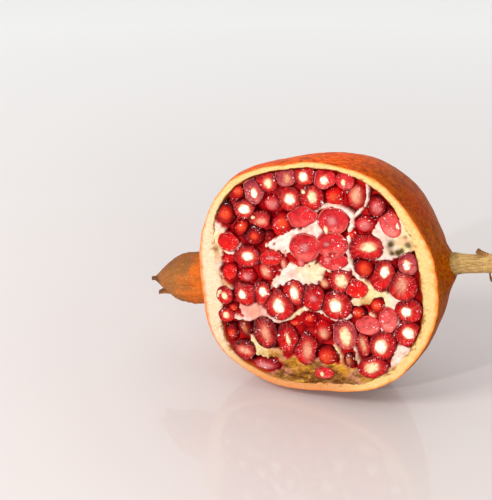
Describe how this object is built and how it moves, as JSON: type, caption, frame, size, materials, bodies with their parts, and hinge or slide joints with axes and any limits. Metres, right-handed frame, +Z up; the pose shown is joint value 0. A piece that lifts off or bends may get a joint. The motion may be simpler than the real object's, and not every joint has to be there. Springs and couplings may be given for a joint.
{
  "type": "open pomegranate",
  "caption": "Larger piece of a ripe pomegranate cut lengthways, lying on its rind with the juicy seed face to the front, stem and calyx kept.",
  "frame": {"origin": "under the middle of the whole box, on the table that the fruit rests on", "axes": "+X from the calyx towards the stem, level; -Y out of the cut face; +Z up"},
  "size_m": [0.1396, 0.0582, 0.0918],
  "materials": {
    "rind": "waxy orange-red skin, semi-gloss, pale cut edge",
    "pith": "moist, spongy, off-white to pink",
    "aril": "wet, translucent crimson",
    "calyx": "dry, papery brown",
    "stem": "fibrous tan bark"
  },
  "bodies": {
    "root": {"rind": "rind", "pith": "pith", "calyx": "calyx", "stem": "stem", "aril_01": "aril", "aril_02": "aril", "aril_03": "aril", "aril_04": "aril", "aril_05": "aril", "aril_06": "aril", "aril_07": "aril", "aril_08": "aril", "aril_09": "aril", "aril_10": "aril", "aril_11": "aril", "aril_12": "aril", "aril_13": "aril", "aril_14": "aril", "aril_15": "aril", "aril_16": "aril", "aril_17": "aril", "aril_18": "aril", "aril_19": "aril", "aril_20": "aril", "aril_21": "aril", "aril_22": "aril", "aril_23": "aril", "aril_24": "aril", "aril_25": "aril", "aril_26": "aril", "aril_27": "aril", "aril_28": "aril", "aril_29": "aril", "aril_30": "aril", "aril_31": "aril", "aril_32": "aril", "aril_33": "aril", "aril_34": "aril", "aril_35": "aril", "aril_36": "aril", "aril_37": "aril", "aril_38": "aril", "aril_39": "aril", "aril_40": "aril", "aril_41": "aril", "aril_42": "aril", "aril_43": "aril", "aril_44": "aril", "aril_45": "aril", "aril_46": "aril", "aril_47": "aril", "aril_48": "aril", "aril_49": "aril", "aril_50": "aril", "aril_51": "aril", "aril_52": "aril", "aril_53": "aril", "aril_54": "aril", "aril_55": "aril", "aril_56": "aril"}
  },
  "joints": []
}
